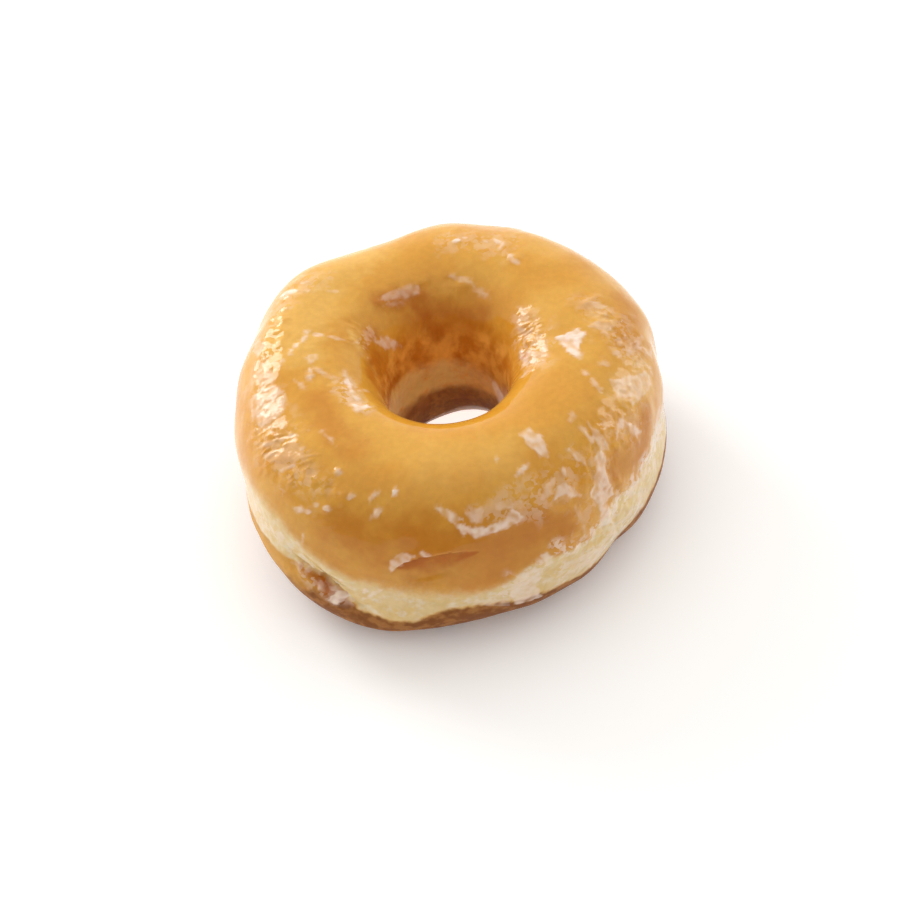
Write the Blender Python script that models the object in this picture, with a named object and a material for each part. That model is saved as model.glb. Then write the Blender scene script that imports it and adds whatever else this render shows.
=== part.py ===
"""A glazed ring doughnut of raised dough, about 92 mm across and 42 mm high.

It is one closed ring of dough. An upper and a lower browned crust meet along
the pale proof line round its waist, where the dough floated above the oil.
The ring was shaped by hand, so its outline, its hole and its crusts are
uneven, and its own weight has pressed a flat ring into the underside.

Azimuths are in degrees round the ring's upright axis, from +X towards +Y, and
270 is the side that faces the viewer. A tube angle is in degrees round the
dough: 0 at the proof line, 90 at the crest, 180 in the hole, 270 underneath.
"""

import math
from collections import namedtuple

import bpy
from mathutils import Vector, noise

MM = 0.001

# The ring as it would be if it were even
OUTER_RADIUS = 45.6 * MM
HOLE_RADIUS = 12.9 * MM
CREST_ABOVE_PROOF_LINE = 24.2 * MM
BASE_BELOW_PROOF_LINE = 18.0 * MM
PRESSED_FLAT = 1.1 * MM
PRESSED_EDGE = 0.5 * MM
SEGMENTS_ROUND_RING = 120
SEGMENTS_ROUND_DOUGH = 48

# The crease on the near left side slants down to the right. The mesh lines gather round it, by up
# to so many degrees, and run along it for about so many degrees each way
CREASE_AZIMUTH = 235
CREASE_TUBE_ANGLE = 0
CREASE_TURN = -37
GATHER_ROUND_RING = 24
GATHER_ROUND_DOUGH = 13
CREASE_REACH = 14

# How square the dough's section is in each quarter: 2 is an ellipse
SQUARENESS_OUTER_TOP = 2.43
SQUARENESS_OUTER_BASE = 2.44
SQUARENESS_HOLE_TOP = 3.0
SQUARENESS_HOLE_BASE = 2.75

# The hand-shaped unevenness: so many crests round the ring, so high, the first at this azimuth
Wave = namedtuple("Wave", "crests rise azimuth")
OUTLINE_WAVES = (
    Wave(2, 1.60 * MM, 57),
    Wave(4, 0.50 * MM, -41),
    Wave(5, 0.55 * MM, 3),
)
HOLE_WAVES = (
    Wave(1, 0.40 * MM, 263),
    Wave(2, 0.85 * MM, 80),
)
UPPER_CRUST_WAVES = (
    Wave(1, 0.55 * MM, 178),
    Wave(2, 0.75 * MM, 5),
    Wave(3, 0.25 * MM, 36),
)
LOWER_CRUST_WAVES = (
    Wave(2, 0.65 * MM, 42),
    Wave(3, 0.80 * MM, -4),
)
CREST_SHIFT = Vector((0.2, 0.65, 0)) * MM
BASE_SHIFT = Vector((1.5, -0.1, 0)) * MM

# The waist along the proof line, which wanders up and down the side: at an azimuth, over this
# half width in degrees, it climbs by so many degrees of tube angle
WAIST_DEPTH = 0.55 * MM
WAIST_HALF_WIDTH = 3.2 * MM
PROOF_LINE_ANGLE = 10
Wander = namedtuple("Wander", "azimuth half_width climb")
PROOF_LINE_WANDERS = (
    Wander(262, 33, -20),
    Wander(212, 15, 13),
)

# Bulges and dents: a centre, the half length along the ring, the half width across it, the rise,
# and the turn of the long axis away from the ring's own direction
Lump = namedtuple("Lump", "name azimuth tube_angle half_length half_width rise turn")
LUMPS = (
    Lump("crease", CREASE_AZIMUTH, CREASE_TUBE_ANGLE, 8.5 * MM, 1.8 * MM, -2.2 * MM, CREASE_TURN),
    Lump("lip over the crease", 238, 11, 8.5 * MM, 2.4 * MM, 0.5 * MM, CREASE_TURN),
    Lump("puffed lower crust", 230, -14, 9 * MM, 4.5 * MM, 0.7 * MM, CREASE_TURN),
    Lump("end of the puffed crust", 244, -20, 3 * MM, 4 * MM, -0.6 * MM, 0),
    Lump("heel of the lower crust", 247, -43, 11 * MM, 6 * MM, 0.9 * MM, 0),
    Lump("lean lower left", 214, -18, 8 * MM, 8 * MM, -0.4 * MM, 0),
    Lump("worn underside edge", 272, -46, 7 * MM, 6 * MM, -0.5 * MM, 0),
    Lump("full underside edge", 299, -43, 8 * MM, 6 * MM, 0.4 * MM, 0),
    Lump("fold in the upper crust", 262, 26, 8 * MM, 2.0 * MM, -1.3 * MM, 20),
    Lump("roll above the fold", 266, 37, 13 * MM, 3.0 * MM, 0.6 * MM, 18),
    Lump("roll along the near side", 283, 13, 16 * MM, 3.0 * MM, 0.6 * MM, 5),
    Lump("nick under the right side", 318, -42, 3.5 * MM, 6 * MM, -0.7 * MM, 0),
    Lump("full lower right", 336, -41, 9 * MM, 6 * MM, 0.45 * MM, 0),
    Lump("full right side", 0, 5, 9 * MM, 9 * MM, 0.5 * MM, 0),
    Lump("nick in the right side", 6, 36, 2.8 * MM, 7 * MM, -0.7 * MM, -20),
    Lump("right shoulder", 17, 47, 7 * MM, 8 * MM, 0.8 * MM, 0),
    Lump("lean far right", 57, 57, 9 * MM, 9 * MM, -0.45 * MM, 0),
    Lump("far crown", 86, 63, 7 * MM, 9 * MM, 0.8 * MM, 0),
    Lump("flattened far side", 106, 63, 9 * MM, 11 * MM, -0.6 * MM, 0),
    Lump("far left shoulder", 136, 63, 10 * MM, 10 * MM, 1.1 * MM, 0),
    Lump("nick in the left side", 160, 42, 4.5 * MM, 9 * MM, -1.0 * MM, 20),
    Lump("worn far rim of the hole", 92, 126, 13 * MM, 6 * MM, -0.8 * MM, 0),
    Lump("thick lower lip of the hole", 118, 222, 9 * MM, 7 * MM, 1.0 * MM, 0),
    Lump("thin lower lip of the hole", 66, 222, 8 * MM, 7 * MM, -0.8 * MM, 0),
    Lump("dimple on the crest", 205, 78, 9 * MM, 6 * MM, -0.5 * MM, 30),
    Lump("swell on the crest", 320, 74, 13 * MM, 9 * MM, 0.5 * MM, 0),
)

# The soft unevenness of the whole skin
SKIN_UNEVENNESS = 0.35 * MM
SKIN_PATCH = 11 * MM

GOLDEN_CRUST = (0.62, 0.33, 0.08, 1)


def wave_sum(waves, azimuth):
    """The rise of these waves at an azimuth in degrees."""
    return sum(w.rise * math.cos(math.radians(w.crests * (azimuth - w.azimuth))) for w in waves)


def angle_between(angle, other):
    """The difference of two angles in degrees, from -180 to 180."""
    return (angle - other + 180) % 360 - 180


def proof_line_angle(azimuth):
    """The tube angle of the proof line at this azimuth."""
    climbs = (w.climb * math.exp(-((angle_between(azimuth, w.azimuth) / w.half_width) ** 2))
              for w in PROOF_LINE_WANDERS)
    return PROOF_LINE_ANGLE + sum(climbs)


def squareness(tube_angle):
    """How square the section is in the quarter that holds this tube angle."""
    upper = math.sin(math.radians(tube_angle)) > 0
    outer = math.cos(math.radians(tube_angle)) > 0
    if outer:
        return SQUARENESS_OUTER_TOP if upper else SQUARENESS_OUTER_BASE
    return SQUARENESS_HOLE_TOP if upper else SQUARENESS_HOLE_BASE


def smooth_step(value):
    """0 below 0, 1 above 1, and an S curve between."""
    value = min(max(value, 0.0), 1.0)
    return value * value * (3 - 2 * value)


def lump_rise(lump, azimuth, tube_angle, axis_distance, dough_radius):
    """How far a lump lifts the skin at a place, measured along the skin from its centre."""
    around = math.radians(angle_between(azimuth, lump.azimuth)) * axis_distance
    across = math.radians(angle_between(tube_angle, lump.tube_angle)) * dough_radius
    turn = math.radians(lump.turn)
    lengthwise = around * math.cos(turn) + across * math.sin(turn)
    sideways = across * math.cos(turn) - around * math.sin(turn)
    fall = (lengthwise / lump.half_length) ** 2 + (sideways / lump.half_width) ** 2
    return lump.rise * math.exp(-fall)


def skin_point(azimuth, tube_angle):
    """The point of the doughnut's skin at this azimuth and tube angle."""
    outward = Vector((math.cos(math.radians(azimuth)), math.sin(math.radians(azimuth)), 0))
    cosine = math.cos(math.radians(tube_angle))
    sine = math.sin(math.radians(tube_angle))

    # The even section of the dough here
    outer = OUTER_RADIUS + wave_sum(OUTLINE_WAVES, azimuth)
    hole = HOLE_RADIUS + wave_sum(HOLE_WAVES, azimuth)
    half_width = (outer - hole) / 2
    half_height = CREST_ABOVE_PROOF_LINE if sine > 0 else BASE_BELOW_PROOF_LINE
    power = squareness(tube_angle)
    radius = ((abs(cosine) / half_width) ** power + (abs(sine) / half_height) ** power) ** (-1 / power)

    # The crusts' own bulges on the outer side, and the waist between them
    shoulder = max(math.sin(math.radians(2 * tube_angle)), 0) if sine > 0 else 0
    haunch = max(-math.sin(math.radians(2 * tube_angle)), 0) if sine < 0 else 0
    if cosine > 0:
        radius += wave_sum(UPPER_CRUST_WAVES, azimuth) * shoulder
        radius += wave_sum(LOWER_CRUST_WAVES, azimuth) * haunch
    line = proof_line_angle(azimuth) if cosine > 0 else 180
    off_line = math.radians(angle_between(tube_angle, line)) * radius
    radius -= WAIST_DEPTH * math.exp(-((off_line / WAIST_HALF_WIDTH) ** 2))

    # The bulges and dents of this one doughnut
    axis_distance = (outer + hole) / 2 + radius * cosine
    for lump in LUMPS:
        radius += lump_rise(lump, azimuth, tube_angle, axis_distance, radius)

    axis_distance = (outer + hole) / 2 + radius * cosine
    height = radius * sine
    point = outward * axis_distance + Vector((0, 0, height))
    point += CREST_SHIFT * smooth_step(height / CREST_ABOVE_PROOF_LINE)
    point += BASE_SHIFT * smooth_step(-height / BASE_BELOW_PROOF_LINE)
    normal = outward * cosine + Vector((0, 0, sine))
    return point + normal * SKIN_UNEVENNESS * noise.noise(point / SKIN_PATCH)


def crust_material():
    """The browned skin under its sugar glaze, in one colour."""
    material = bpy.data.materials.new("glazed_crust")
    material.use_nodes = True
    shader = material.node_tree.nodes["Principled BSDF"]
    shader.inputs["Base Color"].default_value = GOLDEN_CRUST
    shader.inputs["Roughness"].default_value = 0.35
    shader.inputs["Metallic"].default_value = 0.0
    shader.inputs["Coat Weight"].default_value = 0.8
    return material


def gathered(angle, towards, reach):
    """The angle moved towards a place, so that the mesh lines lie closer together there."""
    return angle - reach * math.sin(math.radians(angle - towards))


def slant_along_crease(azimuth, tube_angle):
    """How far a mesh line along the ring leaves this tube angle to run along the crease."""
    dough_radius = (OUTER_RADIUS - HOLE_RADIUS) / 2
    slope = math.tan(math.radians(CREASE_TURN)) * OUTER_RADIUS / dough_radius
    off = angle_between(azimuth, CREASE_AZIMUTH)
    fall = math.exp(-((off / CREASE_REACH) ** 2))
    return slope * off * fall * max(math.cos(math.radians(tube_angle)), 0)


def shape_dough(mesh, centre_radius):
    """Moves an even torus's points to the doughnut's skin."""
    for vertex in mesh.vertices:
        x, y, z = vertex.co
        azimuth = math.degrees(math.atan2(y, x))
        tube_angle = math.degrees(math.atan2(z, math.hypot(x, y) - centre_radius))
        azimuth = gathered(azimuth, CREASE_AZIMUTH, GATHER_ROUND_RING)
        tube_angle = gathered(tube_angle, CREASE_TUBE_ANGLE, GATHER_ROUND_DOUGH)
        tube_angle += slant_along_crease(azimuth, tube_angle)
        vertex.co = skin_point(azimuth, tube_angle)


def pressed(height):
    """The height above the table of skin that would be at this height: flat, then a soft edge."""
    if height >= PRESSED_EDGE:
        return height
    return max(height + PRESSED_EDGE, 0) ** 2 / (4 * PRESSED_EDGE)


def set_down(mesh):
    """Presses the underside flat, and puts the middle of its footprint at the origin."""
    table = min(vertex.co.z for vertex in mesh.vertices) + PRESSED_FLAT
    across = [vertex.co.x for vertex in mesh.vertices]
    along = [vertex.co.y for vertex in mesh.vertices]
    middle = Vector(((min(across) + max(across)) / 2, (min(along) + max(along)) / 2, table))
    for vertex in mesh.vertices:
        vertex.co -= middle
        vertex.co.z = pressed(vertex.co.z)


def make_doughnut():
    """One ring of dough, from an even torus."""
    centre_radius = (OUTER_RADIUS + HOLE_RADIUS) / 2
    bpy.ops.mesh.primitive_torus_add(
        major_segments=SEGMENTS_ROUND_RING,
        minor_segments=SEGMENTS_ROUND_DOUGH,
        major_radius=centre_radius,
        minor_radius=(OUTER_RADIUS - HOLE_RADIUS) / 2,
    )
    doughnut = bpy.context.object
    doughnut.name = "doughnut"
    shape_dough(doughnut.data, centre_radius)
    set_down(doughnut.data)
    doughnut.data.shade_smooth()
    doughnut.data.materials.append(crust_material())
    return doughnut


def main():
    for obj in list(bpy.data.objects):
        bpy.data.objects.remove(obj)
    collection = bpy.data.collections.new("ring_doughnut")
    bpy.context.scene.collection.children.link(collection)
    doughnut = make_doughnut()
    for holder in list(doughnut.users_collection):
        holder.objects.unlink(doughnut)
    collection.objects.link(doughnut)


main()
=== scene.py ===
"""A glazed ring doughnut: one ring of raised dough, fried on both sides and dipped in sugar glaze.

Places on the ring are given as an azimuth, in degrees round its upright axis from +X towards +Y,
and a tube angle, in degrees round the dough: 0 outside at the proof line, 90 on the crest, 180 in
the hole and -90 underneath. The side that faces the camera is azimuth 270.
"""

import math
from collections import namedtuple

import bmesh
import bpy
import numpy as np
from mathutils import Matrix, Vector, noise


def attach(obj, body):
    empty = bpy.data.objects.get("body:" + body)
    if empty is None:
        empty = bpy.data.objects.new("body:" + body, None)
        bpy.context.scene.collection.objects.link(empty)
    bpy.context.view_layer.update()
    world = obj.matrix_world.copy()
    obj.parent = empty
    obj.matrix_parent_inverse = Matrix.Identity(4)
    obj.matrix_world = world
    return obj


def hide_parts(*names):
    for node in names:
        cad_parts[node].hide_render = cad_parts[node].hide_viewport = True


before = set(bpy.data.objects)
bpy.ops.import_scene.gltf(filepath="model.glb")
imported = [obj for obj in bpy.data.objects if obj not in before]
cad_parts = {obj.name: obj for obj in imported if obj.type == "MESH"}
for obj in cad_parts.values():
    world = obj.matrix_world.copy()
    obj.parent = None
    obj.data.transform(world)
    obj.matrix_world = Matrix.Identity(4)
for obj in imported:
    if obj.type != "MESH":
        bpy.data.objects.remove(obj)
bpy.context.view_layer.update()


# The ring of dough. The real one is a yeast dough that has risen and been fried on both sides, so
# its skin is a thin crust, tight and wrinkled where the dough sank a little as it cooled. It is a
# smoothed copy of the CAD node, made finer except underneath, and finer again where it is crumpled.
MM = 0.001
RING_AXIS = Vector((-0.63, -0.15, 17.22)) * MM
RING_RADIUS = 29.25 * MM

Skin = namedtuple("Skin", "co normal azimuth tube axis_distance dough_radius")


def read_skin(mesh):
    """The mesh's points, its normals, and where each point lies round the ring and the dough."""
    co = np.zeros(len(mesh.vertices) * 3)
    normal = np.zeros(len(mesh.vertices) * 3)
    mesh.vertices.foreach_get("co", co)
    mesh.vertices.foreach_get("normal", normal)
    co = co.reshape(-1, 3)
    x, y, z = (co - np.array(RING_AXIS)).T
    axis_distance = np.hypot(x, y)
    azimuth = np.degrees(np.arctan2(y, x)) % 360
    tube = np.degrees(np.arctan2(z, axis_distance - RING_RADIUS))
    dough_radius = np.hypot(z, axis_distance - RING_RADIUS)
    return Skin(co, normal.reshape(-1, 3), azimuth, tube, axis_distance, dough_radius)


def angle_from(angles, other):
    """How far each angle is from another, from -180 to 180 degrees."""
    return (angles - other + 180) % 360 - 180


def off_spot(skin, azimuth, tube, turn=0):
    """How far each point lies from a spot, along an axis turned from the ring's way, and across it."""
    along = np.radians(angle_from(skin.azimuth, azimuth)) * skin.axis_distance
    across = np.radians(angle_from(skin.tube, tube)) * skin.dough_radius
    cosine, sine = math.cos(math.radians(turn)), math.sin(math.radians(turn))
    return along * cosine + across * sine, across * cosine - along * sine


# Points beside one stretch of a line: their distance and side, their share of the way along the
# whole line, the two ends of the stretch, and their part of the way between these
Beside = namedtuple("Beside", "distance side share start end part")


def beside_line(skin, line):
    """How each point lies beside each stretch of a line through (azimuth, tube) places.

    Beside a line that runs towards larger azimuths, the side is 1 above the line and -1 below it."""
    stretches = list(zip(line, line[1:]))
    for count, (start, end) in enumerate(stretches):
        along, across = off_spot(skin, start[0], start[1])
        to_along = np.radians(angle_from(end[0], start[0])) * skin.axis_distance
        to_across = np.radians(angle_from(end[1], start[1])) * skin.dough_radius
        length = to_along ** 2 + to_across ** 2
        part = np.clip((along * to_along + across * to_across) / length, 0, 1)
        distance = np.hypot(along - part * to_along, across - part * to_across)
        side = np.sign(to_along * across - to_across * along)
        yield Beside(distance, side, (count + part) / len(stretches), start, end, part)


def soft_noise(co, patch, seed=0.0):
    """Soft noise from -1 to 1 at each point, in patches of about this size."""
    return np.array([noise.noise(place) for place in (co / patch + seed).tolist()])


# One layer of soft noise: how strong it is, the size of its patches, and its seed
Grain = namedtuple("Grain", "strength patch seed")


def grained(co, grains):
    """Layers of soft noise added up."""
    return sum(grain.strength * soft_noise(co, grain.patch, grain.seed) for grain in grains)


def dented(co, grains):
    """Layers of soft noise added up without their signs, so that sharp valleys run between humps."""
    return sum(grain.strength * np.abs(soft_noise(co, grain.patch, grain.seed)) for grain in grains)


def smooth_step(low, high, values):
    """0 below low, 1 above high, and an S curve between."""
    values = np.clip((values - low) / (high - low), 0, 1)
    return values * values * (3 - 2 * values)


def give_mask(mesh, name, values):
    """Stores one value for each point, for the material to read."""
    mask = mesh.attributes.new(name, "FLOAT", "POINT")
    mask.data.foreach_set("value", values.astype(np.float32))


# Points this close are one, and triangles this nearly flat to each other make a quad
MERGE_DISTANCE = 0.01 * MM
FLAT_ENOUGH, ANY_SHAPE = math.radians(60), math.radians(180)


def smoothed_copy(node):
    """A new object with the node's mesh as quads, smoothed once."""
    bm = bmesh.new()
    bm.from_mesh(node.data)
    bmesh.ops.remove_doubles(bm, verts=bm.verts, dist=MERGE_DISTANCE)
    bmesh.ops.join_triangles(bm, faces=bm.faces, angle_face_threshold=FLAT_ENOUGH,
                             angle_shape_threshold=ANY_SHAPE)
    mesh = bpy.data.meshes.new("coarse_dough")
    bm.to_mesh(mesh)
    bm.free()
    coarse = bpy.data.objects.new("coarse_dough", mesh)
    bpy.context.scene.collection.objects.link(coarse)
    smoother = coarse.modifiers.new("smoother", "SUBSURF")
    smoother.levels = smoother.render_levels = 1
    shown = coarse.evaluated_get(bpy.context.evaluated_depsgraph_get())
    fine = bpy.data.objects.new("dough_ring", bpy.data.meshes.new_from_object(shown))
    bpy.data.objects.remove(coarse)
    bpy.context.scene.collection.objects.link(fine)
    return fine


def make_finer(piece, wanted):
    """Splits the faces whose points are all wanted into four, keeping to the curve of the skin."""
    bm = bmesh.new()
    bm.from_mesh(piece.data)
    for face in bm.faces:
        if all(wanted[vert.index] for vert in face.verts):
            for edge in face.edges:
                edge.tag = True
    edges = [edge for edge in bm.edges if edge.tag]
    bmesh.ops.subdivide_edges(bm, edges=edges, cuts=1, smooth=1.0, use_grid_fill=True)
    bm.to_mesh(piece.data)
    bm.free()


# Where the crust is painted or crumpled: a strength, and a line through places with the half width
# there, as azimuth, tube angle and millimetres
Stroke = namedtuple("Stroke", "strength places")

# A stroke's edge: its noise, and where the stroke starts outside the edge and is full inside it, as
# shares of the half width
STROKE_NOISE = (Grain(1.0, 2.5 * MM, 4.4), Grain(0.5, 0.9 * MM, 6.6))
STROKE_RISES = (-0.5, 0.7)


def painted(skin, strokes, raggedness):
    """The strength of soft-edged strokes at each point."""
    ragged = raggedness * grained(skin.co, STROKE_NOISE)
    strength = np.zeros(len(skin.co))
    for stroke in strokes:
        for beside in beside_line(skin, stroke.places):
            half_width = (beside.start[2] + beside.part * (beside.end[2] - beside.start[2])) * MM
            inside = 1 - beside.distance / half_width + ragged
            strength = np.maximum(strength, stroke.strength * smooth_step(*STROKE_RISES, inside))
    return strength


# The crease under the near left side, where the upper crust laps over the lower one
CREASE_LINE = ((223, 17), (226, 13), (230, 7), (235, 0), (240, -8), (243, -14), (245, -17))
LIP_RISE, LIP_WIDTH = 0.65 * MM, 2.0 * MM
CREASE_DEPTH, CREASE_WIDTH = 1.1 * MM, 1.2 * MM

# The fold in the upper crust on the near side: its upper edge
FOLD_LINE = ((252, 24), (255, 31), (260, 36), (267, 39), (275, 38))
FOLD_LIP_RISE, FOLD_LIP_WIDTH = 0.35 * MM, 1.4 * MM
FOLD_DEPTH, FOLD_WIDTH = 0.9 * MM, 3.0 * MM

# Wrinkles of the skin: a spot, the half sizes of the patch along the folds and across them, the
# folds' turn from the ring's way, their spacing and their depth
Wrinkles = namedtuple("Wrinkles", "azimuth tube half_length half_width turn spacing depth")
WRINKLES = (
    Wrinkles(178, 71, 4 * MM, 3.5 * MM, 25, 1.3 * MM, 0.16 * MM),
    Wrinkles(195, 68, 6 * MM, 4 * MM, 40, 0.9 * MM, 0.025 * MM),
    Wrinkles(211, 62, 6 * MM, 5.5 * MM, 48, 1.5 * MM, 0.26 * MM),
    Wrinkles(221, 62, 6 * MM, 4 * MM, 45, 1.4 * MM, 0.16 * MM),
    Wrinkles(232, 46, 9 * MM, 6 * MM, 25, 2.0 * MM, 0.06 * MM),
    Wrinkles(8, 118, 3.8 * MM, 9 * MM, 65, 1.2 * MM, 0.30 * MM),
    Wrinkles(345, 116, 3 * MM, 5 * MM, 60, 1.2 * MM, 0.18 * MM),
    Wrinkles(10, 81, 3 * MM, 4 * MM, 60, 2.0 * MM, 0.16 * MM),
    Wrinkles(1, 76, 4 * MM, 5 * MM, 80, 2.2 * MM, 0.14 * MM),
    Wrinkles(356, 62, 4 * MM, 5 * MM, 130, 2.3 * MM, 0.14 * MM),
    Wrinkles(330, 58, 5 * MM, 5 * MM, 120, 2.6 * MM, 0.08 * MM),
    Wrinkles(317, 68, 5 * MM, 4 * MM, 88, 2.2 * MM, 0.11 * MM),
    Wrinkles(310, 50, 6 * MM, 5 * MM, 100, 2.4 * MM, 0.11 * MM),
    Wrinkles(157, 118, 4 * MM, 3.5 * MM, 100, 1.5 * MM, 0.14 * MM),
    Wrinkles(288, 60, 6 * MM, 3 * MM, 15, 1.7 * MM, 0.10 * MM),
    Wrinkles(146, 73, 4 * MM, 3.5 * MM, 100, 1.5 * MM, 0.16 * MM),
    Wrinkles(60, 45, 12 * MM, 8 * MM, 60, 2.2 * MM, 0.12 * MM),
    Wrinkles(105, 40, 12 * MM, 8 * MM, 105, 2.0 * MM, 0.12 * MM),
    Wrinkles(95, 150, 9 * MM, 8 * MM, 85, 1.9 * MM, 0.24 * MM),
    Wrinkles(160, 145, 9 * MM, 6 * MM, 95, 1.5 * MM, 0.20 * MM),
    Wrinkles(234, -6, 6 * MM, 4 * MM, 60, 1.5 * MM, 0.20 * MM),
)

# What bends the folds, how strong they are and where, how narrow their ridges are, and how far the
# feet of these lie below the skin
FOLD_BENDS = (Grain(0.9, 5 * MM, 3.1), Grain(0.35, 1.5 * MM, 7.7))
FOLD_STRENGTH = 0.7
FOLD_PATCHES = (Grain(1.1, 2.4 * MM, 5.3),)
RIDGE_POWER, RIDGE_FOOT = 1.3, 0.3

# Wide soft dimples and fine ones, all over
DIMPLES = (Grain(0.22 * MM, 7 * MM, 0), Grain(0.03 * MM, 1.6 * MM, 0))

# Where the glaze is crumpled, and how ragged the edge is there
CRUMPLED = (
    Stroke(0.8, ((168, 66, 2), (176, 72, 2.5), (184, 72, 2.5))),
    Stroke(0.9, ((203, 62, 4), (214, 62, 5), (226, 60, 4), (236, 58, 3))),
    Stroke(1.0, ((26, 114, 2.5), (10, 119, 4), (346, 117, 3.5))),
    Stroke(1.0, ((16, 82, 3), (4, 74, 5), (354, 64, 6))),
    Stroke(0.6, ((332, 76, 3), (338, 62, 5), (346, 48, 5))),
    Stroke(1.0, ((331, 58, 5), (318, 66, 5), (313, 48, 6), (318, 28, 5))),
    Stroke(0.7, ((276, 58, 3), (290, 58, 4.5), (302, 58, 4))),
    Stroke(0.7, ((194, 100, 3), (206, 108, 3.5), (220, 106, 3))),
    Stroke(0.6, ((172, 86, 3), (166, 98, 3))),
    Stroke(1.0, ((158, 76, 3), (164, 78, 3.5), (172, 78, 3))),
    Stroke(0.8, ((152, 112, 2.5), (168, 122, 3), (180, 136, 3))),
    Stroke(1.0, ((226, 2, 3), (235, -7, 4), (242, -18, 3))),
    Stroke(0.8, ((126, 112, 2.5), (105, 114, 3), (75, 112, 2))),
    Stroke(0.5, ((84, 84, 3), (66, 82, 4), (46, 84, 3))),
    Stroke(0.6, ((146, 70, 3), (142, 80, 3))),
    Stroke(0.8, ((292, 14, 4), (306, 8, 5), (322, 6, 6), (338, 14, 5))),
    Stroke(0.6, ((60, 40, 8), (85, 30, 7), (110, 40, 8))),
)
CRUMPLED_EDGE = 0.5

# Its flat facets: their slope, and the spacing of their folds in millimetres. Its dents, their depth
# and their mean. What bends both: how far, in what patches, and a seed for each direction.
FACET_SLOPE = 0.085
FACET_SPACING = (2.2, 5.5)
DENTS = (Grain(1.0, 2.2 * MM, 12.7), Grain(0.45, 0.95 * MM, 15.1))
DENT_DEPTH, MEAN_DENT = 0.11 * MM, 0.25
WARP, WARP_PATCH, WARP_SEEDS = 0.5 * MM, 2 * MM, (21.5, 33.1, 47.9)

# Blisters under the glaze: azimuth, tube angle, radius and height
BLISTERS = (
    (54.8, 90.5, 1.7 * MM, 0.32 * MM),
    (300.5, 53, 1.6 * MM, 0.30 * MM),
    (312, 53, 1.0 * MM, 0.20 * MM),
    (233, 70, 0.8 * MM, 0.28 * MM),
    (239.5, 62, 0.5 * MM, 0.22 * MM),
    (245.5, 64, 0.5 * MM, 0.22 * MM),
    (251.5, 69, 0.45 * MM, 0.25 * MM),
    (248, 57, 0.7 * MM, 0.24 * MM),
    (190, 94, 0.8 * MM, 0.20 * MM),
    (331, 64, 0.8 * MM, 0.20 * MM),
    (290, 73, 0.5 * MM, 0.22 * MM),
    (229, 4, 0.9 * MM, 0.30 * MM),
    (233, -5, 0.9 * MM, 0.30 * MM),
    (238, -11, 1.2 * MM, 0.40 * MM),
)

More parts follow.
